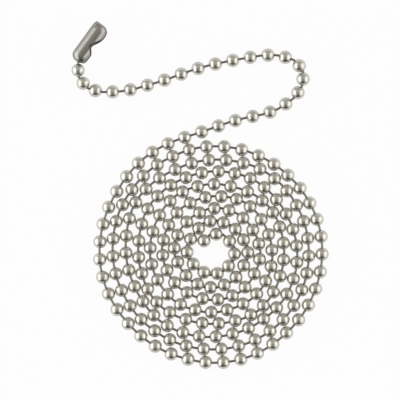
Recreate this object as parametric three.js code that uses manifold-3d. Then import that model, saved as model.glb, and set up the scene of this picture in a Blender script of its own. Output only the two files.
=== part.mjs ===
// A metal ball chain for a roller blind, coiled flat, with a folded sheet connector on its outer end.
// Millimetres, +Z up. The chain lies on the plane z = 0, and its balls are counted from the free inner end.
import * as THREE from 'three';
import * as BufferGeometryUtils from 'three/addons/utils/BufferGeometryUtils.js';
import Module from 'manifold-3d';

// The chain: hollow balls on short dumbbell links
const BALL_DIAMETER = 4.5;
const TAUT_PITCH = 6;
const LINK_TRAVEL = 1.35;
const BALL_WALL = 0.25;
const HOLE_DIAMETER = 1.3;
const NECK_DIAMETER = 0.8;
const HEAD_DIAMETER = 1.5;
const HEAD_PLAY = 0.15;
const BALL_GAP = 0.04;

// The coil, wound clockwise as seen from above. Slack is 0 where balls touch and 1 where the chain is taut.
const COIL_TURNS = 7.93;
const COIL_START_DIAMETERS = 1.21;
const COIL_STEP_DIAMETERS = 0.927;
const COIL_START_DEG = 135.4;
const COIL_SLACK = [0.46, 0, 0.42, 0.55, 0.74, 0.72, 0.9, 0.97, 0.97];

// The tail from the coil to the connector, in shares of the coil's outer radius from the coil's centre
const TAIL_ROUTE = [
  [-0.858, 0.515],
  [-0.675, 0.762],
  [-0.408, 0.933],
  [-0.115, 1.042],
  [0.18, 1.143],
  [0.48, 1.214],
  [0.62, 1.284],
  [0.73, 1.383],
  [0.778, 1.508],
  [0.743, 1.626],
  [0.623, 1.698],
  [0.47, 1.716],
  [0.16, 1.67],
  [-0.143, 1.6],
  [-0.436, 1.497],
  [-0.734, 1.413],
  [-0.89, 1.395],
  [-1.034, 1.405],
  [-1.139, 1.462],
  [-1.19, 1.57],
  [-1.15, 1.69],
];
const BEND_TAUT_DEG = 6;
const BEND_TIGHT_DEG = 42;

// The connector, a sheet folded along one straight edge and open along the other. It lies rolled a little about
// its length, with its mouth turned up.
const SHEET = 0.35;
const SOCKET_PLAY = 0.12;
const CONNECTOR_LENGTH = 15;
const CONNECTOR_WIDTH = 5.9;
const CONNECTOR_HEADING_DEG = 54.1;
const CONNECTOR_ROLL_DEG = 8;
const END_BALL_HEADING_DEG = 77.5;
const END_LINK_TRAVEL = 0.7;
const SLIT_HEIGHT = 1.5;
const FOLD_WIDTH = 1.2;
const WAIST_WIDTH = 3.7;
const WAIST_AT = 6.85;
const MOUTH_START = 3.3;
const MOUTH_END = 12.4;
const LIP_CURVE = 0.46;
const WAIST_CURVE = 0.23;
const CUT_MARGIN = 1;

// How the solids are divided and how fine they are
const FREE_BALLS = 2;
const RISING_BALLS = 4;
const RUN_COUNT = 45;
const RUN_GAP = 0.05;
const BALL_SIDES = 8;
const SHELL_SIDES = 12;
const NECK_SIDES = 3;
const LINK_SIDES = 6;
const SHEET_SIDES = 12;
const BELT_SHARE = 0.42;
const NECK_FIRST_DEG = 30;
const MOUTH_STEPS = 5;

const METAL = { color: 0xb4b0a8, metalness: 1, roughness: 0.32 };
const DARK_METAL = { color: 0x8d8a84, metalness: 1, roughness: 0.38 };

const UP = new THREE.Vector3(0, 0, 1);
const ballRadius = BALL_DIAMETER / 2;
const neckRadius = NECK_DIAMETER / 2;
const headRadius = HEAD_DIAMETER / 2;
const holeRadius = HOLE_DIAMETER / 2;
const coilStart = COIL_START_DIAMETERS * BALL_DIAMETER;
const coilStep = COIL_STEP_DIAMETERS * BALL_DIAMETER;
const coilRadius = coilStart + coilStep * COIL_TURNS;

// Along a ball's axis: its hole's outer and inner edges, the middle of the hole, and where a neck meets it
const holeOutside = Math.sqrt(ballRadius ** 2 - holeRadius ** 2);
const holeInside = Math.sqrt((ballRadius - BALL_WALL) ** 2 - holeRadius ** 2);
const holeMiddle = (holeOutside + holeInside) / 2;
const poleAt = Math.sqrt(ballRadius ** 2 - neckRadius ** 2);

// A taut link's heads bear on the inner edges of the holes
const headAt = holeInside - Math.sqrt(headRadius ** 2 - holeRadius ** 2) - HEAD_PLAY;
const linkHalf = TAUT_PITCH / 2 - headAt;

// Two balls come closer together by as much as the link between them slides into their holes
const tightPitch = TAUT_PITCH - LINK_TRAVEL;
const endBallPitch = TAUT_PITCH - END_LINK_TRAVEL;

// Half of the connector's outer height, which is also its end's radius round the ball that it holds
const socketRadius = ballRadius + SOCKET_PLAY + SHEET;

// The connector's middle height as it lies, and the turn round its section from its underside to where it rests
const connectorRoll = radians(CONNECTOR_ROLL_DEG);
const restHeight = socketRadius * Math.cos(connectorRoll);
const restSide = (CONNECTOR_WIDTH / 2) * Math.sin(connectorRoll);
const seatHeight = Math.hypot(restHeight, restSide);
const restTurn = Math.atan2(restSide, restHeight);

// How finely the tail's curve is followed, and how near its end the last of its balls may come, in pitches
const CURVE_STEPS = 200;
const LAST_STEP = 1.4;

// Balls nearer than this many diameters may come to touch as the coil settles
const TOUCHING_REACH = 1.7;

// The balls' axes are improved step by step, each time keeping this many parts of the axis before
const AXIS_ROUNDS = 80;
const AXIS_WEIGHT = 8;

function radians(degrees) {
  return THREE.MathUtils.degToRad(degrees);
}

// A value read from a list at a place between its entries
function listAt(list, place) {
  const i = Math.min(Math.floor(place), list.length - 2);
  return list[i] + (list[i + 1] - list[i]) * (place - i);
}

function distance(a, b) {
  return Math.hypot(b[0] - a[0], b[1] - a[1]);
}

function bearing(a, b) {
  return Math.atan2(b[1] - a[1], b[0] - a[0]);
}

// The coil's balls on an even spiral, each one pitch from the last
function windCoil() {
  const spot = (turned) => {
    const radius = coilStart + (coilStep * turned) / (2 * Math.PI);
    const angle = radians(COIL_START_DEG) - turned;
    return [radius * Math.cos(angle), radius * Math.sin(angle)];
  };
  const balls = [spot(0)];
  let turned = 0;
  while (turned < COIL_TURNS * 2 * Math.PI) {
    const last = balls[balls.length - 1];
    const slack = listAt(COIL_SLACK, turned / (2 * Math.PI));
    const pitch = BALL_DIAMETER + (TAUT_PITCH - BALL_DIAMETER) * slack;
    let step = pitch / Math.hypot(last[0], last[1]);
    for (let i = 0; i < 4; i++) step *= pitch / distance(last, spot(turned + step));
    turned += step;
    balls.push(spot(turned));
  }
  return balls;
}

// The tail's route as closely spaced points on a smooth curve, from the coil's last ball
function tailCurve(from, before) {
  const knots = [before, from];
  for (const [x, y] of TAIL_ROUTE) knots.push([x * coilRadius, y * coilRadius]);
  const end = knots[knots.length - 1];
  const heading = radians(CONNECTOR_HEADING_DEG);
  knots.push([end[0] + TAUT_PITCH * Math.cos(heading), end[1] + TAUT_PITCH * Math.sin(heading)]);
  const points = [];
  for (let k = 1; k < knots.length - 2; k++) {
    const [a, b, c, d] = knots.slice(k - 1, k + 3);
    for (let i = 0; i < CURVE_STEPS; i++) {
      const t = i / CURVE_STEPS;
      const blend = (n) =>
        0.5 * (2 * b[n] + (c[n] - a[n]) * t + (2 * a[n] - 5 * b[n] + 4 * c[n] - d[n]) * t ** 2
          + (3 * b[n] - a[n] - 3 * c[n] + d[n]) * t ** 3);
      points.push([blend(0), blend(1)]);
    }
  }
  points.push(end);
  return points;
}

// The first point of a curve, after a given one, that lies a given distance from a centre
function firstBeyond(curve, start, centre, reach) {
  let i = start;
  while (i < curve.length && distance(centre, curve[i]) < reach) i++;
  return i;
}

function pointBeyond(curve, start, centre, reach) {
  return curve[Math.min(firstBeyond(curve, start, centre, reach), curve.length - 1)];
}

// The tail's balls: closer together where the chain bends sharply
function layTail(curve) {
  const balls = [];
  let at = 0;
  while (distance(curve[at], curve[curve.length - 1]) > LAST_STEP * endBallPitch) {
    const centre = curve[at];
    const near = pointBeyond(curve, at, centre, TAUT_PITCH / 2);
    const far = pointBeyond(curve, at, near, TAUT_PITCH);
    const turn = bearing(near, far) - bearing(centre, near);
    const bend = Math.abs(Math.atan2(Math.sin(turn), Math.cos(turn)));
    const share = THREE.MathUtils.smoothstep(bend, radians(BEND_TAUT_DEG), radians(BEND_TIGHT_DEG));
    at = firstBeyond(curve, at, centre, TAUT_PITCH + (tightPitch - TAUT_PITCH) * share);
    balls.push(curve[at]);
  }
  return balls;
}

// Moves a pair of balls apart, or a linked pair together, until the distance between them is allowed
function setApart(a, b, linked) {
  const apart = distance(a, b);
  let wanted = Math.max(apart, BALL_DIAMETER + BALL_GAP);
  if (linked) wanted = Math.min(wanted, TAUT_PITCH);
  const share = (wanted - apart) / apart / 2;
  for (const n of [0, 1]) {
    const move = share * (b[n] - a[n]);
    a[n] -= move;
    b[n] += move;
  }
}

// Lets the balls of neighbouring turns settle against each other
function settle(home) {
  const balls = home.map((ball) => [...ball]);
  const pairs = [];
  for (let i = 0; i < balls.length; i++) {
    for (let j = i + 1; j < balls.length; j++) {
      if (distance(home[i], home[j]) < TOUCHING_REACH * BALL_DIAMETER) pairs.push([i, j]);
    }
  }
  const pull = 0.02;
  const pulledRounds = 600;
  const freeRounds = 300;
  for (let round = 0; round < pulledRounds + freeRounds; round++) {
    if (round < pulledRounds && round % 2 === 0) {
      for (let i = 0; i < balls.length; i++) {
        balls[i][0] += pull * (home[i][0] - balls[i][0]);
        balls[i][1] += pull * (home[i][1] - balls[i][1]);
      }
    }
    for (const [i, j] of pairs) setApart(balls[i], balls[j], j === i + 1);
  }
  return balls;
}

// Every ball's centre in order, the one inside the connector last. The last few rise to the connector's axis.
function layChain() {
  const coil = windCoil();
  const [before, from] = coil.slice(-2);
  const flat = settle([...coil, ...layTail(tailCurve(from, before))]);
  const last = flat[flat.length - 1];
  const heading = radians(END_BALL_HEADING_DEG);
  flat.push([last[0] + endBallPitch * Math.cos(heading), last[1] + endBallPitch * Math.sin(heading)]);
  return flat.map(([x, y], i) => {
    const rise = Math.max(0, 1 - (flat.length - 1 - i) / RISING_BALLS) ** 2;
    return new THREE.Vector3(x, y, ballRadius + rise * (seatHeight - ballRadius));
  });
}

// Each ball's axis halves the bend between the links in its two holes, which in turn hang on the axes
function ballAxes(centres) {
  const heading = new THREE.Vector3(1, 0, 0).applyAxisAngle(UP, radians(CONNECTOR_HEADING_DEG));
  const last = centres.length - 1;
  const between = (from, to) => to.clone().sub(from).normalize();
  let axes = centres.map((centre, i) => between(centres[Math.max(i - 1, 0)], centres[Math.min(i + 1, last)]));
  for (let round = 0; round < AXIS_ROUNDS; round++) {
    const hole = (i, side) => centres[i].clone().addScaledVector(axes[i], side * holeMiddle);
    const links = centres.slice(1).map((_, i) => between(hole(i, 1), hole(i + 1, -1)));
    axes = axes.map((axis, i) => {
      const ahead = i < last ? links[i] : heading;
      const behind = i > 0 ? links[i - 1] : ahead;
      return axis.clone().multiplyScalar(AXIS_WEIGHT).add(ahead).add(behind).normalize();
    });
  }
  return axes;
}

// A ring of points round an axis, with a flat below. Its sides and its height have their own half sizes.
function ring(centre, axis, sides, halfWidth, halfHeight, firstAngle) {
  const side = new THREE.Vector3().crossVectors(axis, UP).normalize().negate();
  const top = new THREE.Vector3().crossVectors(axis, side).normalize();
  const points = [];
  for (let i = 0; i < sides; i++) {
    const angle = firstAngle + (i * 2 * Math.PI) / sides;
    const point = centre.clone().addScaledVector(side, halfWidth * Math.cos(angle));
    point.addScaledVector(top, halfHeight * Math.sin(angle));
    points.push({ point, angle });
  }
  return points;
}

// A closed solid through rings of different counts, each counter-clockwise about the way forward
function loft(rings) {
  const corners = [];
  const triangle = (a, b, c) => corners.push(...a.toArray(), ...b.toArray(), ...c.toArray());
  const point = (list, i) => list[i % list.length].point;
  const angle = (list, i) => list[i % list.length].angle + (i >= list.length ? 2 * Math.PI : 0);
  for (let k = 0; k < rings.length - 1; k++) {
    const [back, front] = [rings[k], rings[k + 1]];
    let i = 0;
    let j = 0;
    while (i < back.length || j < front.length) {
      const backNext = j >= front.length || (i < back.length && angle(back, i + 1) <= angle(front, j + 1));
      if (backNext) {
        triangle(point(back, i), point(back, i + 1), point(front, j));
        i++;
      } else {
        triangle(point(back, i), point(front, j + 1), point(front, j));
        j++;
      }
    }
  }
  const [first, last] = [rings[0], rings[rings.length - 1]];
  for (let i = 1; i < first.length - 1; i++) triangle(point(first, 0), point(first, i + 1), point(first, i));
  for (let i = 1; i < last.length - 1; i++) triangle(point(last, 0), point(last, i), point(last, i + 1));
  const geometry = new THREE.BufferGeometry();
  geometry.setAttribute('position', new THREE.Float32BufferAttribute(corners, 3));
  return BufferGeometryUtils.mergeVertices(geometry, 1e-5);
}

// A fused ball's two main rings lie inside its sphere as seen from above, with flats at its full height
const beltAt = BELT_SHARE * ballRadius;
const beltSide = Math.sqrt(ballRadius ** 2 - beltAt ** 2);
const beltAngle = Math.PI / BALL_SIDES;
const neckAngle = radians(NECK_FIRST_DEG);

function beltRing(centre, axis, along) {
  const width = beltSide / Math.cos(beltAngle);
  const height = ballRadius / Math.cos(beltAngle);
  return ring(centre.clone().addScaledVector(axis, along), axis, BALL_SIDES, width, height, beltAngle);
}

function neckRing(centre, axis, along, radius = neckRadius) {
  const outer = radius / Math.cos(neckAngle);
  return ring(centre.clone().addScaledVector(axis, along), axis, NECK_SIDES, outer, outer, neckAngle);
}

// Balls fused with the links between them, up to a hair's breadth from the next run
function chainRun(centres, axes, from, to) {
  const rings = [];
  for (let i = from; i < to; i++) {
    rings.push(neckRing(centres[i], axes[i], -poleAt));
    rings.push(beltRing(centres[i], axes[i], -beltAt));
    rings.push(beltRing(centres[i], axes[i], beltAt));
    rings.push(neckRing(centres[i], axes[i], poleAt));
  }
  return rings;
}

// The link from a run into the next ball's pole, or into a hollow ball, where it ends in a blunt head
function runEnd(centres, axes, next, hollow) {
  if (!hollow) return [neckRing(centres[next], axes[next], -poleAt - RUN_GAP)];
  const start = centres[next - 1].clone().addScaledVector(axes[next - 1], poleAt);
  const hole = centres[next].clone().addScaledVector(axes[next], -holeMiddle);
  const axis = hole.clone().sub(start).normalize();
  const shoulder = hole.clone().addScaledVector(axis, BALL_WALL + HEAD_PLAY);
  return [
    neckRing(shoulder, axis, 0),
    neckRing(shoulder, axis, headRadius / 2, headRadius * Math.cos(neckAngle)),
    neckRing(shoulder, axis, headRadius * 1.5, neckRadius),
  ];
}

// A hollow ball about the Y axis, open at both poles, with its corners on the sphere
function ballShell() {
  const outer = ballRadius * Math.SQRT1_2;
  const innerRadius = ballRadius - BALL_WALL;
  const inner = innerRadius * Math.SQRT1_2;
  const profile = [
    [holeRadius, -holeOutside],
    [outer, -outer],
    [ballRadius, 0],
    [outer, outer],
    [holeRadius, holeOutside],
    [holeRadius, holeInside],
    [inner, inner],
    [innerRadius, 0],
    [inner, -inner],
    [holeRadius, -holeInside],
    [holeRadius, -holeOutside],
  ];
  return turned(profile, SHELL_SIDES);
}

// A link about the Y axis: a neck with a round head at each end. The head's rings are shares of its radius,
// out from the link's axis and along it from the head's centre.
const SHOULDER_AT = -0.7;
const HEAD_RINGS = [
  [1, -0.1],
  [0.75, 0.6],
  [0, 1],
];

function dumbbell() {
  const head = HEAD_RINGS.map(([out, along]) => [headRadius * out, linkHalf + headRadius * along]);
  const half = [[neckRadius, linkHalf + headRadius * SHOULDER_AT], ...head];
  const otherHalf = half.map(([r, y]) => [r, -y]).reverse();
  return turned([...otherHalf, ...half], LINK_SIDES);
}

// A lathe-turned solid with flats at its sides, top and bottom
function turned(profile, sides) {
  const points = profile.map(([r, y]) => new THREE.Vector2(r, y));
  const geometry = new THREE.LatheGeometry(points, sides, Math.PI / sides, 2 * Math.PI);
  return welded(geometry);
}

// A geometry with shared corners and without the triangles that have no area
function welded(geometry) {
  geometry.deleteAttribute('normal');
  geometry.deleteAttribute('uv');
  const merged = BufferGeometryUtils.mergeVertices(geometry, 1e-5);
  const index = merged.index.array;
  const kept = [];
  for (let i = 0; i < index.length; i += 3) {
    const [a, b, c] = index.slice(i, i + 3);
    if (a !== b && b !== c && c !== a) kept.push(a, b, c);
  }
  merged.setIndex(kept);
  return merged;
}

// The connector's rings: place along it, its two half widths and its half height, as shares of the full sizes.
// The places at the chain's end are shares of the socket's radius, those at the far end likewise, from the tip.
const CHAIN_END_RINGS = [
  [-1, 0.38, 0.2, 0.38],
  [-0.9, 0.54, 0.38, 0.58],
  [-0.7, 0.78, 0.78, 0.8],
  [-0.42, 0.95, 0.9, 0.94],
  [0, 1, 0.94, 0.99],
];
const FAR_END_RINGS = [
  [-0.95, 1, 1, 1],
  [-0.5, 0.98, 0.9, 0.95],
  [-0.16, 0.93, 0.62, 0.82],
  [0, 0.82, 0.3, 0.62],
];

const wasm = await Module();
wasm.setup();

function solid(geometry) {
  const merged = welded(geometry);
  const vertProperties = new Float32Array(merged.attributes.position.array);
  const triVerts = new Uint32Array(merged.index.array);
  return new wasm.Manifold(new wasm.Mesh({ numProp: 3, vertProperties, triVerts }));
}

function geometryOf(manifold) {
  const mesh = manifold.getMesh();
  const geometry = new THREE.BufferGeometry();
  geometry.setAttribute('position', new THREE.BufferAttribute(new Float32Array(mesh.vertProperties), 3));
  geometry.setIndex(Array.from(mesh.triVerts));
  return geometry;
}

// The connector's outer form, or its hollow when inset. X runs from the held ball's centre, the fold is at +Y.
function connectorForm(inset) {
  const reach = socketRadius - inset;
  const farEnd = CONNECTOR_LENGTH - socketRadius - inset;
  const stations = [
    ...CHAIN_END_RINGS.map(([at, ...shares]) => [at * reach, ...shares]),
    ...FAR_END_RINGS.map(([at, ...shares]) => [farEnd + at * reach, ...shares]),
  ];
  const halfWidth = CONNECTOR_WIDTH / 2 - inset;
  const flat = Math.cos(Math.PI / SHEET_SIDES);
  const rings = stations.map(([x, foldShare, lipShare, height]) => {
    const y = (halfWidth * (foldShare - lipShare)) / 2;
    const width = (halfWidth * (foldShare + lipShare)) / 2;
    const axis = new THREE.Vector3(1, 0, 0);
    return ring(new THREE.Vector3(x, y, 0), axis, SHEET_SIDES, width / flat, (reach * height) / flat,
      Math.PI / SHEET_SIDES + restTurn);
  });
  return loft(rings);
}

// The scalloped mouth, cut down through both lips. Its curve leaves the lips' line and the waist level.
function mouth() {
  const edge = -CONNECTOR_WIDTH / 2;
  const waist = edge + CONNECTOR_WIDTH - WAIST_WIDTH;
  const start = MOUTH_START - socketRadius;
  const middle = WAIST_AT - socketRadius;
  const end = MOUTH_END - socketRadius;
  const near = middle - start;
  const far = end - middle;
  const shape = new THREE.Shape();
  shape.moveTo(start, edge - CUT_MARGIN);
  shape.lineTo(end, edge - CUT_MARGIN);
  shape.lineTo(end, edge);
  shape.bezierCurveTo(end - far * LIP_CURVE, edge, middle + far * WAIST_CURVE, waist, middle, waist);
  shape.bezierCurveTo(middle - near * WAIST_CURVE, waist, start + near * LIP_CURVE, edge, start, edge);
  const depth = 3 * socketRadius;
  const geometry = new THREE.ExtrudeGeometry(shape, { depth, curveSegments: MOUTH_STEPS, bevelEnabled: false });
  geometry.translate(0, 0, -depth / 2);
  return geometry;
}

// The slit between the lips runs round both ends, so that the chain's neck can pass
function slit() {
  const length = CONNECTOR_LENGTH + 2 * CUT_MARGIN;
  const width = CONNECTOR_WIDTH - FOLD_WIDTH + CUT_MARGIN;
  const box = new THREE.BoxGeometry(length, width, SLIT_HEIGHT);
  box.translate(CONNECTOR_LENGTH / 2 - socketRadius, CONNECTOR_WIDTH / 2 - FOLD_WIDTH - width / 2, 0);
  return box;
}

function connector() {
  const shell = solid(connectorForm(0)).subtract(solid(connectorForm(SHEET)));
  return geometryOf(shell.subtract(solid(mouth())).subtract(solid(slit())));
}

const chain = new THREE.Group();

function addPiece(name, geometry, look) {
  const material = new THREE.MeshStandardMaterial({ ...look, flatShading: true });
  const mesh = new THREE.Mesh(geometry, material);
  mesh.name = name;
  chain.add(mesh);
  return mesh;
}

// Turns a piece made about the Y axis so that it lies along an axis with its flats level
function layAlong(mesh, centre, axis) {
  const side = new THREE.Vector3().crossVectors(axis, UP).normalize();
  const top = new THREE.Vector3().crossVectors(side, axis);
  mesh.quaternion.setFromRotationMatrix(new THREE.Matrix4().makeBasis(side, axis, top));
  mesh.position.copy(centre);
}

const centres = layChain();
const axes = ballAxes(centres);
const heldBall = centres.length - 1;
const firstHollow = heldBall - FREE_BALLS - 1;

// The fused runs share the balls as evenly as whole balls allow
for (let run = 1; run <= RUN_COUNT; run++) {
  const from = Math.round(((run - 1) * firstHollow) / RUN_COUNT);
  const to = Math.round((run * firstHollow) / RUN_COUNT);
  const rings = [...chainRun(centres, axes, from, to), ...runEnd(centres, axes, to, to === firstHollow)];
  addPiece(`chain_run_${String(run).padStart(2, '0')}`, loft(rings), METAL);
}

// From the last fused run outward: a hollow ball, then a link, and so on to the ball in the connector
for (let i = firstHollow; i <= heldBall; i++) {
  const number = heldBall - i;
  layAlong(addPiece(number ? `ball_${number}` : 'end_ball', ballShell(), METAL), centres[i], axes[i]);
  if (i === heldBall) break;
  const start = centres[i].clone().addScaledVector(axes[i], holeMiddle);
  const end = centres[i + 1].clone().addScaledVector(axes[i + 1], -holeMiddle);
  const middle = start.clone().add(end).multiplyScalar(0.5);
  layAlong(addPiece(`link_${number}`, dumbbell(), DARK_METAL), middle, end.clone().sub(start).normalize());
}

const clip = addPiece('connector', connector(), DARK_METAL);
clip.position.copy(centres[heldBall]);
clip.rotation.set(-connectorRoll, 0, radians(CONNECTOR_HEADING_DEG), 'ZYX');

// The origin is under the middle of the whole, as it lies
const middle = new THREE.Box3().setFromObject(chain, true).getCenter(new THREE.Vector3());
chain.position.set(-middle.x, -middle.y, 0);

export default chain;
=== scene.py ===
# A metal ball chain for a roller blind, coiled flat, with a folded sheet connector on its outer end
import math

import bmesh
import bpy
import numpy as np
from mathutils import Matrix, Vector


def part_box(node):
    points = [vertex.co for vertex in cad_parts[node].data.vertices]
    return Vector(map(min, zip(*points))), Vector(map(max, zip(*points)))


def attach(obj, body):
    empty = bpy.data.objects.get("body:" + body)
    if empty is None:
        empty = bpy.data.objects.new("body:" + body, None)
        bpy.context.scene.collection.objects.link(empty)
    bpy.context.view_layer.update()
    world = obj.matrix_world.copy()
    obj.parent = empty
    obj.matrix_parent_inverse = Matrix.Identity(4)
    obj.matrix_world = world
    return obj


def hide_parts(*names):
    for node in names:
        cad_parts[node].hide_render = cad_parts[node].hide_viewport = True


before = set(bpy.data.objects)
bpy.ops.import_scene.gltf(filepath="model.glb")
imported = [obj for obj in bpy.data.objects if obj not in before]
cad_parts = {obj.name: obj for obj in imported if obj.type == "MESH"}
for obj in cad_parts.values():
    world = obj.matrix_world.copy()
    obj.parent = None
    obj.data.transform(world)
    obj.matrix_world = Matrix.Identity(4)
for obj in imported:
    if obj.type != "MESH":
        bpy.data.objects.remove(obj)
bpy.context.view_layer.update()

MM = 0.001

# The chain's sizes in millimetres
BALL_DIAMETER = 4.5
TAUT_PITCH = 6
LINK_TRAVEL = 1.35
BALL_WALL = 0.25
HOLE_DIAMETER = 1.3
NECK_DIAMETER = 0.8
HEAD_DIAMETER = 1.5
HEAD_PLAY = 0.15
BALL_GAP = 0.04

# The coil, wound clockwise as seen from above. Slack is 0 where balls touch and 1 where the chain is taut.
COIL_TURNS = 7.93
COIL_START_DIAMETERS = 1.21
COIL_STEP_DIAMETERS = 0.927
COIL_START_DEG = 135.4
COIL_SLACK = [0.46, 0, 0.42, 0.55, 0.74, 0.72, 0.9, 0.97, 0.97]

# The tail from the coil to the connector, in shares of the coil's outer radius from the coil's centre
TAIL_ROUTE = [
    (-0.858, 0.515),
    (-0.675, 0.762),
    (-0.408, 0.933),
    (-0.115, 1.042),
    (0.18, 1.143),
    (0.48, 1.214),
    (0.62, 1.284),
    (0.73, 1.383),
    (0.778, 1.508),
    (0.743, 1.626),
    (0.623, 1.698),
    (0.47, 1.716),
    (0.16, 1.67),
    (-0.143, 1.6),
    (-0.436, 1.497),
    (-0.734, 1.413),
    (-0.89, 1.395),
    (-1.034, 1.405),
    (-1.139, 1.462),
    (-1.19, 1.57),
    (-1.15, 1.69),
]

# How the tail's bends draw its balls together, and how the balls settle against each other
BEND_TAUT_DEG = 6
BEND_TIGHT_DEG = 42
CURVE_STEPS = 200
LAST_STEP = 1.4
TOUCHING_REACH = 1.7
PULL = 0.02
PULLED_ROUNDS = 600
FREE_ROUNDS = 300
AXIS_ROUNDS = 80
AXIS_WEIGHT = 8

# The connector, a sheet folded along one straight edge and open along the other. It lies rolled a little
# about its length, with its mouth turned up.
SHEET = 0.35
SOCKET_PLAY = 0.12
CONNECTOR_LENGTH = 15
CONNECTOR_WIDTH = 5.9
CONNECTOR_HEADING_DEG = 54.1
CONNECTOR_ROLL_DEG = 8
END_BALL_HEADING_DEG = 77.5
END_LINK_TRAVEL = 0.7
SLIT_HEIGHT = 1.5
FOLD_WIDTH = 1.2
WAIST_WIDTH = 3.7
WAIST_AT = 6.85
MOUTH_START = 3.3
MOUTH_END = 12.4
LIP_CURVE = 0.46
WAIST_CURVE = 0.23

FREE_BALLS = 2
RISING_BALLS = 4
RUN_COUNT = 45

ball_radius = BALL_DIAMETER / 2
neck_radius = NECK_DIAMETER / 2
head_radius = HEAD_DIAMETER / 2
hole_radius = HOLE_DIAMETER / 2
coil_start = COIL_START_DIAMETERS * BALL_DIAMETER
coil_step = COIL_STEP_DIAMETERS * BALL_DIAMETER
coil_radius = coil_start + coil_step * COIL_TURNS
hole_outside = math.sqrt(ball_radius**2 - hole_radius**2)
hole_inside = math.sqrt((ball_radius - BALL_WALL) ** 2 - hole_radius**2)
hole_middle = (hole_outside + hole_inside) / 2
head_at = hole_inside - math.sqrt(head_radius**2 - hole_radius**2) - HEAD_PLAY
link_half = TAUT_PITCH / 2 - head_at
tight_pitch = TAUT_PITCH - LINK_TRAVEL
end_ball_pitch = TAUT_PITCH - END_LINK_TRAVEL
socket_radius = ball_radius + SOCKET_PLAY + SHEET
connector_roll = math.radians(CONNECTOR_ROLL_DEG)
rest_height = socket_radius * math.cos(connector_roll)
rest_side = CONNECTOR_WIDTH / 2 * math.sin(connector_roll)
seat_height = math.hypot(rest_height, rest_side)


def list_at(values, place):
    i = min(int(place), len(values) - 2)
    return values[i] + (values[i + 1] - values[i]) * (place - i)


def distance(a, b):
    return math.hypot(b[0] - a[0], b[1] - a[1])


def bearing(a, b):
    return math.atan2(b[1] - a[1], b[0] - a[0])


def spiral_spot(turned):
    radius = coil_start + (coil_step * turned) / (2 * math.pi)
    angle = math.radians(COIL_START_DEG) - turned
    return [radius * math.cos(angle), radius * math.sin(angle)]


def wind_coil():
    """The coil's balls on an even spiral, each one pitch from the last."""
    balls = [spiral_spot(0)]
    turned = 0
    while turned < COIL_TURNS * 2 * math.pi:
        last = balls[-1]
        slack = list_at(COIL_SLACK, turned / (2 * math.pi))
        pitch = BALL_DIAMETER + (TAUT_PITCH - BALL_DIAMETER) * slack
        step = pitch / math.hypot(*last)
        for _ in range(4):
            step *= pitch / distance(last, spiral_spot(turned + step))
        turned += step
        balls.append(spiral_spot(turned))
    return balls


def spline_point(a, b, c, d, t):
    return [
        0.5
        * (
            2 * b[n]
            + (c[n] - a[n]) * t
            + (2 * a[n] - 5 * b[n] + 4 * c[n] - d[n]) * t**2
            + (3 * b[n] - a[n] - 3 * c[n] + d[n]) * t**3
        )
        for n in range(len(a))
    ]


def tail_curve(start, before):
    """The tail's route as closely spaced points on a smooth curve, from the coil's last ball."""
    knots = [before, start] + [[x * coil_radius, y * coil_radius] for x, y in TAIL_ROUTE]
    end = knots[-1]
    heading = math.radians(CONNECTOR_HEADING_DEG)
    knots.append([end[0] + TAUT_PITCH * math.cos(heading), end[1] + TAUT_PITCH * math.sin(heading)])
    points = []
    for k in range(1, len(knots) - 2):
        for i in range(CURVE_STEPS):
            points.append(spline_point(*knots[k - 1 : k + 3], i / CURVE_STEPS))
    return points + [end]


def first_beyond(curve, start, centre, reach):
    i = start
    while i < len(curve) and distance(centre, curve[i]) < reach:
        i += 1
    return i


def point_beyond(curve, start, centre, reach):
    return curve[min(first_beyond(curve, start, centre, reach), len(curve) - 1)]


def smoothstep(value, low, high):
    share = min(max((value - low) / (high - low), 0), 1)
    return share * share * (3 - 2 * share)


def lay_tail(curve):
    """The tail's balls: closer together where the chain bends sharply."""
    balls = []
    at = 0
    while distance(curve[at], curve[-1]) > LAST_STEP * end_ball_pitch:
        centre = curve[at]
        near = point_beyond(curve, at, centre, TAUT_PITCH / 2)
        far = point_beyond(curve, at, near, TAUT_PITCH)
        turn = bearing(near, far) - bearing(centre, near)
        bend = abs(math.atan2(math.sin(turn), math.cos(turn)))
        share = smoothstep(bend, math.radians(BEND_TAUT_DEG), math.radians(BEND_TIGHT_DEG))
        at = first_beyond(curve, at, centre, TAUT_PITCH + (tight_pitch - TAUT_PITCH) * share)
        balls.append(curve[at])
    return balls


def set_apart(a, b, linked):
    apart = distance(a, b)
    wanted = max(apart, BALL_DIAMETER + BALL_GAP)
    if linked:
        wanted = min(wanted, TAUT_PITCH)
    share = (wanted - apart) / apart / 2
    for n in (0, 1):
        move = share * (b[n] - a[n])
        a[n] -= move
        b[n] += move


def settle(home):
    """Lets the balls of neighbouring turns settle against each other."""
    balls = [list(ball) for ball in home]
    count = len(balls)
    reach = TOUCHING_REACH * BALL_DIAMETER
    numbers = range(count)
    pairs = [(i, j) for i in numbers for j in range(i + 1, count) if distance(home[i], home[j]) < reach]
    for turn in range(PULLED_ROUNDS + FREE_ROUNDS):
        if turn < PULLED_ROUNDS and turn % 2 == 0:
            for ball, place in zip(balls, home):
                ball[0] += PULL * (place[0] - ball[0])
                ball[1] += PULL * (place[1] - ball[1])
        for i, j in pairs:
            set_apart(balls[i], balls[j], j == i + 1)
    return balls


def lay_chain():
    """Every ball's centre in order, the one inside the connector last."""
    coil = wind_coil()
    flat = settle(coil + lay_tail(tail_curve(coil[-1], coil[-2])))
    last = flat[-1]
    heading = math.radians(END_BALL_HEADING_DEG)
    along = (math.cos(heading), math.sin(heading))
    flat.append([last[n] + end_ball_pitch * along[n] for n in (0, 1)])
    spots = []
    for i, (x, y) in enumerate(flat):
        rise = max(0, 1 - (len(flat) - 1 - i) / RISING_BALLS) ** 2
        spots.append((x, y, ball_radius + rise * (seat_height - ball_radius)))
    return np.array(spots)


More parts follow.
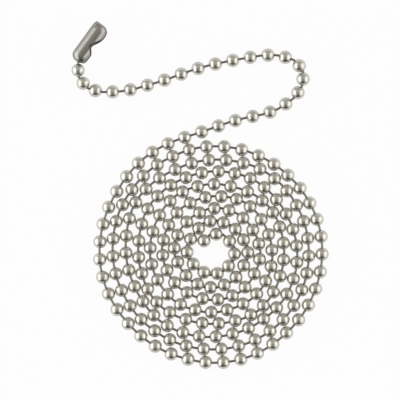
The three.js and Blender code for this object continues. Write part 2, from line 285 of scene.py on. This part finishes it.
def unit(rows):
    return rows / np.linalg.norm(rows, axis=-1, keepdims=True)


def ball_axes(centres):
    """Each ball's axis halves the bend between the links in its two holes."""
    angle = math.radians(CONNECTOR_HEADING_DEG)
    heading = np.array([[math.cos(angle), math.sin(angle), 0]])
    padded = np.vstack([centres[:1], centres, centres[-1:]])
    axes = unit(padded[2:] - padded[:-2])
    for _ in range(AXIS_ROUNDS):
        links = unit(centres[1:] - hole_middle * axes[1:] - centres[:-1] - hole_middle * axes[:-1])
        ahead = np.vstack([links, heading])
        behind = np.vstack([links[:1], links])
        axes = unit(AXIS_WEIGHT * axes + ahead + behind)
    return axes


centres = lay_chain()
axes = ball_axes(centres)
held_ball = len(centres) - 1
first_hollow = held_ball - FREE_BALLS - 1

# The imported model's origin is under the middle of the whole, so one ball's place there gives the shift
corner_low, corner_high = (np.array(corner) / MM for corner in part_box(f"ball_{FREE_BALLS + 1}"))
shift = (corner_low + corner_high) / 2 - centres[first_hollow]
centres = centres + np.array([shift[0], shift[1], 0])


def add_mesh(name, points, faces, materials, body, nodes, slot, sharp_deg=40):
    """A piece in millimetres, smooth where it bends less than the sharp angle."""
    mesh = bpy.data.meshes.new(name)
    mesh.from_pydata([tuple(point) for point in np.asarray(points) * MM], [], faces)
    for material in materials:
        mesh.materials.append(material)
    mesh.update()
    mesh.shade_smooth()
    mesh.set_sharp_from_angle(angle=math.radians(sharp_deg))
    piece = bpy.data.objects.new(name, mesh)
    bpy.context.scene.collection.objects.link(piece)
    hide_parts(*nodes)
    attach(piece, body)
    return piece


def frame_along(axis):
    """The side, the axis and the top as rows, with the side level."""
    side = unit(np.cross(axis, (0, 0, 1)))
    return np.array([side, axis, np.cross(side, axis)])


def turned_rings(profile, angles, closed):
    """Points and quads of a profile of radius and height, turned about the Y axis."""
    profile = np.array(profile)
    angles = np.asarray(angles)
    radius, along = profile[:, 0, None], profile[:, 1, None]
    points = np.stack([radius * np.cos(angles), along + 0 * angles, radius * np.sin(angles)], axis=2)
    count = len(angles)
    rows = len(profile)
    faces = []
    for row in range(rows if closed else rows - 1):
        above = (row + 1) % rows
        for i in range(count):
            j = (i + 1) % count
            faces.append((row * count + i, above * count + i, above * count + j, row * count + j))
    return points.reshape(-1, 3), faces


# A ball's two polar holes have rounded lips, and a seam runs from one to the other along its shell
SEAM_DEPTH = 0.05
SEAM_HALF_DEG = 2.2
# The first column of points beside the seam, in half widths of the seam
SEAM_REACH = 2.5
BALL_AROUND = 32
OUTER_BANDS = 18
INNER_BANDS = 12
LIP_ROUND = 0.06

# The free balls are a hair smaller and thinner, so that nothing rubs at any tilt
FREE_BALL_TRIM = 0.04


def sphere_arc(radius, lip, bands, way):
    start = math.asin(lip / radius)
    turns = np.linspace(start, math.pi - start, bands + 1)[::way]
    return [(radius * math.sin(t), radius * math.cos(t)) for t in turns]


def ball_mesh(trim):
    """A hollow ball about the Y axis, with holes at its poles and its seam at angle zero."""
    outside = ball_radius - trim
    inside = ball_radius - BALL_WALL + trim / 2
    outer = sphere_arc(outside, hole_radius + LIP_ROUND, OUTER_BANDS, -1)
    inner = sphere_arc(inside, hole_radius + LIP_ROUND / 2, INNER_BANDS, 1)
    lip_top = math.sqrt(outside**2 - hole_radius**2) - LIP_ROUND
    lip_foot = math.sqrt(inside**2 - hole_radius**2) + LIP_ROUND / 2
    lip = [(hole_radius, lip_top), (hole_radius, lip_foot)]
    other_lip = [(r, -y) for r, y in lip[::-1]]
    profile = outer + lip + inner + other_lip
    seam = math.radians(SEAM_HALF_DEG)
    rest = np.linspace(SEAM_REACH * seam, 2 * math.pi - SEAM_REACH * seam, BALL_AROUND - 3)
    angles = np.concatenate([[-seam, 0, seam], rest])
    points, faces = turned_rings(profile, angles, closed=True)
    points = points.reshape(len(profile), len(angles), 3)
    depth = SEAM_DEPTH / ball_radius
    points[: len(outer), 1] *= 1 - depth
    return points.reshape(-1, 3), faces


# A link's head starts beside its axis, at an angle in radians, and ends in a short blend to the neck
HEAD_BANDS = 6
HEAD_START = 0.12
NECK_BLEND = 0.2
LINK_AROUND = 14


def link_mesh():
    """A link about the Y axis: a neck with a round head at each end."""
    back = math.asin(neck_radius / head_radius)
    turns = np.linspace(HEAD_START, math.pi - back, HEAD_BANDS + 1)
    head = [(head_radius * math.sin(t), link_half + head_radius * math.cos(t)) for t in turns]
    fillet = (neck_radius, head[-1][1] - NECK_BLEND * neck_radius)
    half = head + [fillet]
    profile = [(r, -y) for r, y in half] + half[::-1]
    angles = np.arange(LINK_AROUND) * 2 * math.pi / LINK_AROUND
    points, faces = turned_rings(profile, angles, closed=False)
    last_row = len(profile) - 1
    faces.append(tuple(range(LINK_AROUND)))
    faces.append(tuple(last_row * LINK_AROUND + i for i in reversed(range(LINK_AROUND))))
    return points, faces


def placed(mesh, place, axis, roll):
    """A mesh made about the Y axis, rolled about it and laid along another axis."""
    points, faces = mesh
    turn = np.array(Matrix.Rotation(roll, 3, "Y"))
    return points @ turn.T @ frame_along(axis) + place, faces


def joined(meshes):
    points = []
    faces = []
    start = 0
    for part_points, part_faces in meshes:
        points.append(part_points)
        faces += [tuple(start + i for i in face) for face in part_faces]
        start += len(part_points)
    return np.vstack(points), faces


BALL = ball_mesh(0)
FREE_BALL = ball_mesh(FREE_BALL_TRIM)
LINK = link_mesh()
ROLL_STEP = 2.399963
ROLL_SWING = 1.1


def ball_at(i):
    """The ball, rolled so that its seam lies somewhere on its lower half."""
    roll = math.pi / 2 + ROLL_SWING * math.sin(ROLL_STEP * i)
    mesh = FREE_BALL if i > first_hollow else BALL
    return placed(mesh, centres[i], axes[i], roll)


def link_at(i):
    start = centres[i] + hole_middle * axes[i]
    end = centres[i + 1] - hole_middle * axes[i + 1]
    return placed(LINK, (start + end) / 2, unit(end - start), 0)


# The metals' finish: clouds of slightly duller colour and uneven gloss, and a fine grain
CLOUD_SCALE = 450
CLOUD_SPAN = (0.3, 0.7)
SMOOTHER = 0.05
ROUGHER = 0.07
DULL_SHARE = 0.86
GRAIN_SCALE = 3500
GRAIN_DEPTH = 0.00002


def add_node(nodes, kind, values):
    """A node of a material or the world, with its named inputs set."""
    node = nodes.new(kind)
    for name, value in values.items():
        node.inputs[name].default_value = value
    return node


def math_node(tree, operation, first, second):
    """One number worked out from an output and another output or a plain number."""
    node = tree.nodes.new("ShaderNodeMath")
    node.operation = operation
    tree.links.new(first, node.inputs[0])
    if isinstance(second, float):
        node.inputs[1].default_value = second
    else:
        tree.links.new(second, node.inputs[1])
    return node.outputs[0]


def shader(name, color, roughness, edge, scratch):
    """Satin plated metal with fine scratches and a slightly uneven gloss."""
    material = bpy.data.materials.new(name)
    material.use_nodes = True
    nodes = material.node_tree.nodes
    links = material.node_tree.links
    bsdf = nodes["Principled BSDF"]
    bsdf.inputs["Metallic"].default_value = 1
    bsdf.inputs["Specular Tint"].default_value = (edge, edge, edge, 1)
    place = nodes.new("ShaderNodeTexCoord")
    cloud = add_node(nodes, "ShaderNodeTexNoise", {"Scale": CLOUD_SCALE, "Detail": 3})
    links.new(place.outputs["Object"], cloud.inputs["Vector"])
    low, high = CLOUD_SPAN
    span = {"From Min": low, "From Max": high, "To Min": roughness - SMOOTHER, "To Max": roughness + ROUGHER}
    tone = add_node(nodes, "ShaderNodeMapRange", span)
    links.new(cloud.outputs["Fac"], tone.inputs["Value"])
    links.new(tone.outputs["Result"], bsdf.inputs["Roughness"])
    tint = nodes.new("ShaderNodeMix")
    tint.data_type = "RGBA"
    tint.inputs["A"].default_value = (*color, 1)
    tint.inputs["B"].default_value = (*(DULL_SHARE * c for c in color), 1)
    links.new(cloud.outputs["Fac"], tint.inputs["Factor"])
    links.new(tint.outputs["Result"], bsdf.inputs["Base Color"])
    grain = add_node(nodes, "ShaderNodeTexNoise", {"Scale": GRAIN_SCALE, "Detail": 4})
    links.new(place.outputs["Object"], grain.inputs["Vector"])
    bump = add_node(nodes, "ShaderNodeBump", {"Strength": scratch, "Distance": GRAIN_DEPTH})
    links.new(grain.outputs["Fac"], bump.inputs["Height"])
    links.new(bump.outputs["Normal"], bsdf.inputs["Normal"])
    return material


nickel = shader("satin_nickel", (0.73, 0.71, 0.648), roughness=0.3, edge=0.5, scratch=0.12)
# The links are the same plated nickel as the balls. This darker, rougher copy of it is painted shade for the
# shadow that falls on the necks between the balls.
link_nickel = shader("link_nickel", (0.34, 0.325, 0.295), roughness=0.42, edge=0.2, scratch=0.3)
sheet_nickel = shader("sheet_nickel", (0.43, 0.42, 0.385), roughness=0.27, edge=0.2, scratch=0.05)

# The fused runs: each is one piece of balls and links
run_ends = [math.floor(run * first_hollow / RUN_COUNT + 0.5) for run in range(RUN_COUNT + 1)]
for run in range(1, RUN_COUNT + 1):
    members = range(run_ends[run - 1], run_ends[run])
    balls, ball_faces = joined([ball_at(i) for i in members])
    links, link_faces = joined([link_at(i) for i in members])
    points, faces = joined([(balls, ball_faces), (links, link_faces)])
    name = f"chain_run_{run:02d}"
    piece = add_mesh(f"{name}_dressed", points, faces, [nickel, link_nickel], "coil", [name], "ball_metal")
    # The links' faces take the darker copy of the nickel, which paints shade onto the necks
    for polygon in piece.data.polygons[len(ball_faces) :]:
        polygon.material_index = 1

# The free end: a hollow ball, then a link, and so on to the ball in the connector
for i in range(first_hollow, held_ball + 1):
    number = held_ball - i
    node = f"ball_{number}" if number else "end_ball"
    body = "coil" if i == first_hollow else node
    add_mesh(f"{node}_dressed", *ball_at(i), [nickel], body, [node], "ball_metal")
    if number:
        link = f"link_{number}"
        add_mesh(f"{link}_dressed", *link_at(i), [link_nickel], link, [link], "link_metal")

# The connector's rings: place along it, its two half widths and its half height, as shares of the full sizes
CHAIN_END_RINGS = [
    (-1, 0.38, 0.2, 0.38),
    (-0.9, 0.54, 0.38, 0.58),
    (-0.7, 0.78, 0.78, 0.8),
    (-0.42, 0.95, 0.9, 0.94),
    (0, 1, 0.94, 0.99),
]
FAR_END_RINGS = [
    (-0.95, 1, 1, 1),
    (-0.5, 0.98, 0.9, 0.95),
    (-0.16, 0.93, 0.62, 0.82),
    (0, 0.82, 0.3, 0.62),
]
SHEET_AROUND = 64
RING_STEPS = 5
SCALLOP_STEPS = 16
CUT_MARGIN = 1
EDGE_ROUND = 0.07
EDGE_LIMIT_DEG = 40
SLIVER = 0.003


def smooth_between(stations, steps):
    """Stations with smooth ones between them that never pass the values at either end."""
    rows = np.array(stations)
    gaps = np.diff(rows[:, :1], axis=0)
    slopes = np.diff(rows, axis=0) / gaps
    inner = slopes[:-1] * slopes[1:]
    harmonic = np.where(inner > 0, 2 * inner / np.where(inner > 0, slopes[:-1] + slopes[1:], 1), 0)
    tangents = np.vstack([slopes[:1], harmonic, slopes[-1:]])
    filled = []
    for k, gap in enumerate(gaps[:, 0]):
        for i in range(steps):
            t = i / steps
            base = rows[k] * (2 * t**3 - 3 * t**2 + 1) + rows[k + 1] * (3 * t**2 - 2 * t**3)
            bend = tangents[k] * (t**3 - 2 * t**2 + t) + tangents[k + 1] * (t**3 - t**2)
            filled.append(base + gap * bend)
    return [*filled, rows[-1]]


def connector_form(inset):
    """The connector's outer form, or its hollow when inset, with the fold at +Y."""
    reach = socket_radius - inset
    far_end = CONNECTOR_LENGTH - socket_radius - inset
    half_width = CONNECTOR_WIDTH / 2 - inset
    stations = [[at * reach, *shares] for at, *shares in CHAIN_END_RINGS]
    stations += [[far_end + at * reach, *shares] for at, *shares in FAR_END_RINGS]
    smooth = smooth_between(stations, RING_STEPS)
    angles = np.arange(SHEET_AROUND) * 2 * math.pi / SHEET_AROUND
    points = []
    for x, fold, lip, height in smooth:
        middle = half_width * (fold - lip) / 2
        width = half_width * (fold + lip) / 2
        ring = [(x, middle + width * math.cos(t), reach * height * math.sin(t)) for t in angles]
        points += ring
    faces = []
    for row in range(len(smooth) - 1):
        for i in range(SHEET_AROUND):
            j = (i + 1) % SHEET_AROUND
            a, b = row * SHEET_AROUND, (row + 1) * SHEET_AROUND
            faces.append((a + i, b + i, b + j, a + j))
    faces.append(tuple(range(SHEET_AROUND)))
    last_row = (len(smooth) - 1) * SHEET_AROUND
    faces.append(tuple(last_row + i for i in reversed(range(SHEET_AROUND))))
    return points, faces


def bezier(a, b, c, d):
    spots = []
    for i in range(1, SCALLOP_STEPS + 1):
        t = i / SCALLOP_STEPS
        u = 1 - t
        weights = (u**3, 3 * u * u * t, 3 * u * t * t, t**3)
        spots.append([sum(w * p[n] for w, p in zip(weights, (a, b, c, d))) for n in (0, 1)])
    return spots


def mouth_form():
    """The scalloped mouth, cut down through both lips."""
    edge = -CONNECTOR_WIDTH / 2
    waist = edge + CONNECTOR_WIDTH - WAIST_WIDTH
    start = MOUTH_START - socket_radius
    middle = WAIST_AT - socket_radius
    end = MOUTH_END - socket_radius
    near = middle - start
    far = end - middle
    far_lip = (end - far * LIP_CURVE, edge)
    far_waist = (middle + far * WAIST_CURVE, waist)
    near_waist = (middle - near * WAIST_CURVE, waist)
    near_lip = (start + near * LIP_CURVE, edge)
    outline = [(start, edge - CUT_MARGIN), (end, edge - CUT_MARGIN), (end, edge)]
    outline += bezier((end, edge), far_lip, far_waist, (middle, waist))
    outline += bezier((middle, waist), near_waist, near_lip, (start, edge))
    count = len(outline)
    depth = 2 * socket_radius
    points = [(x, y, -depth) for x, y in outline] + [(x, y, depth) for x, y in outline]
    faces = [(i, (i + 1) % count, count + (i + 1) % count, count + i) for i in range(count)]
    faces += [tuple(reversed(range(count))), tuple(range(count, 2 * count))]
    return points, faces


def slit_form():
    """The slit between the lips, which runs round both ends."""
    x0 = -socket_radius - CUT_MARGIN
    x1 = CONNECTOR_LENGTH - socket_radius + CUT_MARGIN
    y0 = -CONNECTOR_WIDTH / 2 - CUT_MARGIN
    y1 = CONNECTOR_WIDTH / 2 - FOLD_WIDTH
    z = SLIT_HEIGHT / 2
    points = [(x, y, h) for h in (-z, z) for x, y in ((x0, y0), (x1, y0), (x1, y1), (x0, y1))]
    faces = [(3, 2, 1, 0), (4, 5, 6, 7), (0, 1, 5, 4), (1, 2, 6, 5), (2, 3, 7, 6), (3, 0, 4, 7)]
    return points, faces


def passing_object(name, form):
    """An object that is only there for the cuts."""
    points, faces = form
    mesh = bpy.data.meshes.new(name)
    mesh.from_pydata(points, [], faces)
    tool = bmesh.new()
    tool.from_mesh(mesh)
    bmesh.ops.recalc_face_normals(tool, faces=tool.faces)
    tool.to_mesh(mesh)
    tool.free()
    obj = bpy.data.objects.new(name, mesh)
    bpy.context.scene.collection.objects.link(obj)
    return obj


def cut_sheet():
    """The connector's sheet: its outer form less its hollow, its mouth and its slit."""
    whole = passing_object("whole", connector_form(0))
    cutters = [
        passing_object("hollow", connector_form(SHEET)),
        passing_object("mouth", mouth_form()),
        passing_object("slit", slit_form()),
    ]
    for cutter in cutters:
        cut = whole.modifiers.new(cutter.name, "BOOLEAN")
        cut.operation = "DIFFERENCE"
        cut.solver = "EXACT"
        cut.object = cutter
    rounding = whole.modifiers.new("rounding", "BEVEL")
    rounding.width = EDGE_ROUND
    rounding.segments = 2
    rounding.limit_method = "ANGLE"
    rounding.angle_limit = math.radians(EDGE_LIMIT_DEG)
    graph = bpy.context.evaluated_depsgraph_get()
    made = bpy.data.meshes.new_from_object(whole.evaluated_get(graph))
    tool = bmesh.new()
    tool.from_mesh(made)
    for _ in range(2):
        bmesh.ops.remove_doubles(tool, verts=tool.verts, dist=SLIVER)
        bmesh.ops.dissolve_degenerate(tool, dist=SLIVER, edges=tool.edges)
        bmesh.ops.triangulate(tool, faces=tool.faces)
    tool.to_mesh(made)
    tool.free()
    points = np.array([vertex.co for vertex in made.vertices])
    faces = [tuple(polygon.vertices) for polygon in made.polygons]
    for obj in [whole, *cutters]:
        bpy.data.objects.remove(obj)
    return points, faces


sheet_points, sheet_faces = cut_sheet()
heading = Matrix.Rotation(math.radians(CONNECTOR_HEADING_DEG), 3, "Z")
lie = np.array(heading @ Matrix.Rotation(-connector_roll, 3, "X"))
sheet = (sheet_points @ lie.T + centres[held_ball], sheet_faces)
add_mesh(
    "connector_dressed", *sheet, [sheet_nickel], "connector", ["connector"], "connector_metal", sharp_deg=50
)

# The camera looks straight down from high above, as in the photograph
VIEW_CENTRE = (0.02, -1.72)
VIEW_FIELD = 134.9
VIEW_HEIGHT = 900
SENSOR = 36
camera = bpy.data.objects.new("camera", bpy.data.cameras.new("camera"))
camera.data.sensor_width = SENSOR
camera.data.lens = SENSOR * VIEW_HEIGHT / VIEW_FIELD
camera.location = Vector((*VIEW_CENTRE, VIEW_HEIGHT + ball_radius)) * MM
camera.data.clip_start = 0.01
camera.data.clip_end = 50
bpy.context.scene.collection.objects.link(camera)
bpy.context.scene.camera = camera

# How far the light cards stand from the chain, in metres
CARD_AWAY = 1


def card(name, direction, width, height, power):
    """A soft light card that faces the chain."""
    lamp = bpy.data.lights.new(name, "AREA")
    lamp.shape = "RECTANGLE"
    lamp.size = width
    lamp.size_y = height
    lamp.energy = power
    obj = bpy.data.objects.new(name, lamp)
    way = Vector(direction).normalized()
    obj.location = way * CARD_AWAY
    obj.rotation_euler = (-way).to_track_quat("-Z", "Y").to_euler()
    bpy.context.scene.collection.objects.link(obj)


card("left_card", (-0.93, -0.06, 0.34), width=1.7, height=1.2, power=10)
card("right_card", (0.86, -0.08, 0.49), width=1.5, height=0.95, power=5.4)

# A pale floor, white to the eye, that keeps part of the chain's shadow
FLOOR_REACH = 6
FLOOR_DROP = 0.00002
FLOOR_GLOW = 0.95
FLOOR_PAPER = 0.95
floor_mesh = bpy.data.meshes.new("floor")
corners = [(x * FLOOR_REACH, y * FLOOR_REACH, 0) for x, y in ((-1, -1), (1, -1), (1, 1), (-1, 1))]
floor_mesh.from_pydata(corners, [], [(0, 1, 2, 3)])
floor = bpy.data.objects.new("floor", floor_mesh)
floor.location.z = -FLOOR_DROP
bpy.context.scene.collection.objects.link(floor)
paper = bpy.data.materials.new("paper")
paper.use_nodes = True
tree = paper.node_tree
nodes = tree.nodes
links = tree.links
nodes.clear()

path = nodes.new("ShaderNodeLightPath")
seen = math_node(tree, "MAXIMUM", path.outputs["Is Camera Ray"], path.outputs["Is Glossy Ray"])
seen = math_node(tree, "MAXIMUM", seen, path.outputs["Is Transmission Ray"])
share = math_node(tree, "MULTIPLY", seen, FLOOR_GLOW)
matt = add_node(nodes, "ShaderNodeBsdfDiffuse", {"Color": (FLOOR_PAPER, FLOOR_PAPER, FLOOR_PAPER, 1)})
glow = add_node(nodes, "ShaderNodeEmission", {"Color": (1, 1, 1, 1), "Strength": 1})
mix = nodes.new("ShaderNodeMixShader")
links.new(share, mix.inputs["Fac"])
links.new(matt.outputs[0], mix.inputs[1])
links.new(glow.outputs[0], mix.inputs[2])
out = nodes.new("ShaderNodeOutputMaterial")
links.new(mix.outputs[0], out.inputs["Surface"])
floor_mesh.materials.append(paper)

# A dim studio, a little brighter overhead and darker at the foot of the picture
world = bpy.data.worlds.new("studio")
world.use_nodes = True
bpy.context.scene.world = world
tree = world.node_tree
nodes = tree.nodes
links = tree.links
nodes.clear()
place = nodes.new("ShaderNodeTexCoord")
split = nodes.new("ShaderNodeSeparateXYZ")
links.new(place.outputs["Generated"], split.inputs[0])
foot_span = {"From Min": -0.9, "From Max": 0.3, "To Min": 0.05, "To Max": 0.49}
foot = add_node(nodes, "ShaderNodeMapRange", foot_span)
links.new(split.outputs["Y"], foot.inputs["Value"])
overhead_span = {"From Min": 0.7, "From Max": 1, "To Min": 1, "To Max": 1.05}
overhead = add_node(nodes, "ShaderNodeMapRange", overhead_span)
links.new(split.outputs["Z"], overhead.inputs["Value"])
dim = math_node(tree, "MULTIPLY", foot.outputs["Result"], overhead.outputs["Result"])
back = add_node(nodes, "ShaderNodeBackground", {"Color": (1, 0.985, 0.93, 1)})
links.new(dim, back.inputs["Strength"])
out = nodes.new("ShaderNodeOutputWorld")
links.new(back.outputs[0], out.inputs["Surface"])

bpy.context.scene.view_settings.view_transform = "Standard"
